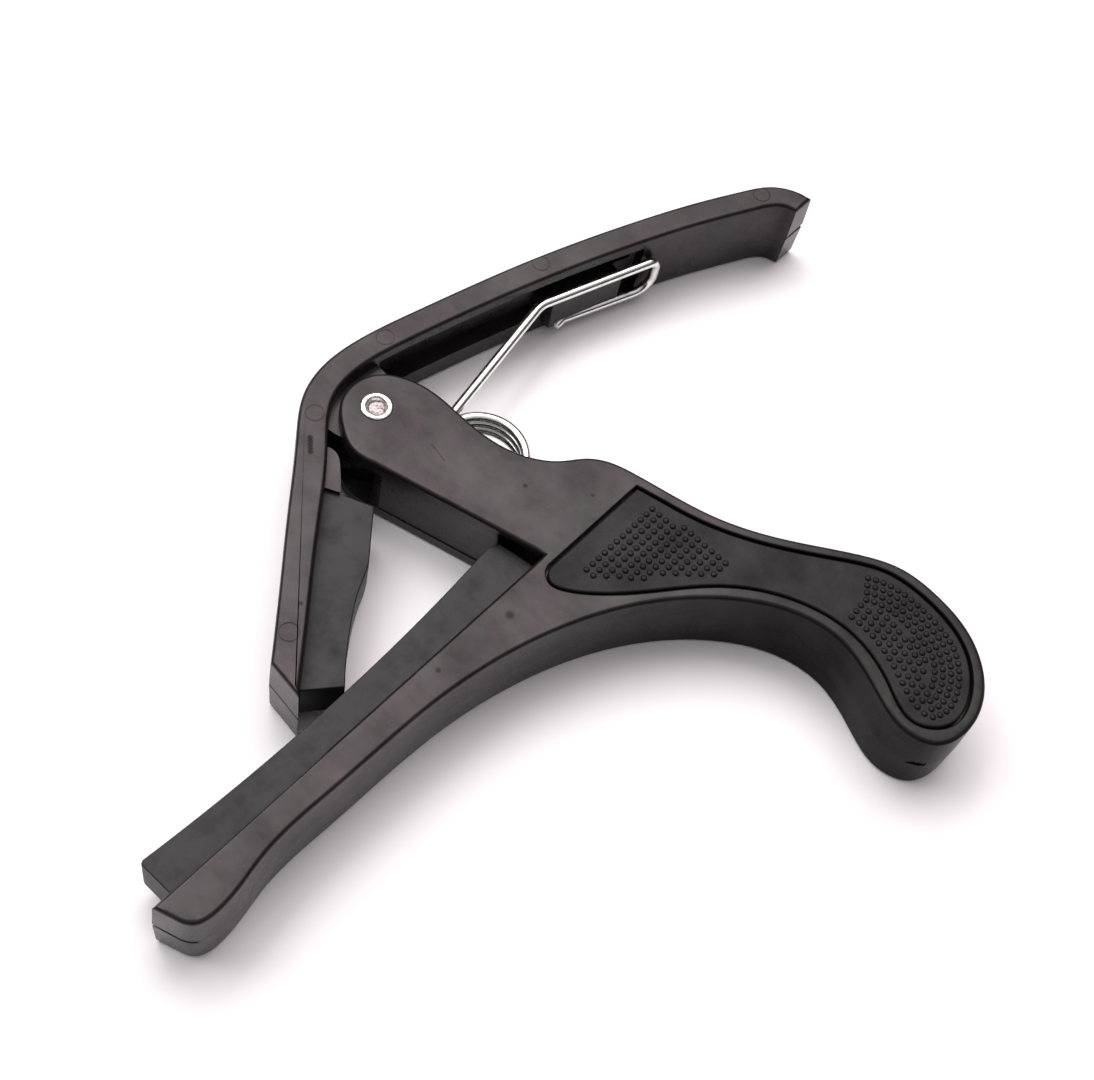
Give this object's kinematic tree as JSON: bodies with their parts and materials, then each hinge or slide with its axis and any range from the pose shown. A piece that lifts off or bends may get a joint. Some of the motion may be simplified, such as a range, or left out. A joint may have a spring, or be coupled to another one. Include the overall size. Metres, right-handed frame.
{
  "type": "guitar capo",
  "caption": "Spring-loaded trigger capo: a sprung clamp whose padded arm bars the strings while a hinged, padded lever grips the back of the neck.",
  "frame": {"origin": "on the pivot axis, in the plane of the side face that the capo lies on", "axes": "+Z along the pivot axis, up from the resting side face; +X along the fret arm from its free tip towards the handles; +Y from the fret arm towards the pivot"},
  "size_m": [0.1478, 0.1002, 0.0138],
  "materials": {
    "moulding": "satin dark grey-brown moulding",
    "pad": "matt dark grey rubber",
    "grip": "satin dark grey inlay with raised dots",
    "spring": "bright plated spring wire",
    "rivet": "bright nickel plate"
  },
  "bodies": {
    "body": {"main_body": "moulding", "fret_pad": "pad", "grip_near": "grip", "grip_far": "grip", "torsion_spring": "spring", "pivot_rivet": "rivet"},
    "lever": {"neck_lever": "moulding", "neck_pad": "pad"}
  },
  "joints": [
    {"name": "jaw_hinge", "type": "hinge", "parent": "body", "child": "lever", "pos_m": [0, 0, 0.00675], "axis": [0, 0, 1], "range_deg": [-35, 0], "stiffness_Nm_per_rad": 1.2, "springref_deg": 2.86, "deforming": ["torsion_spring"]}
  ]
}
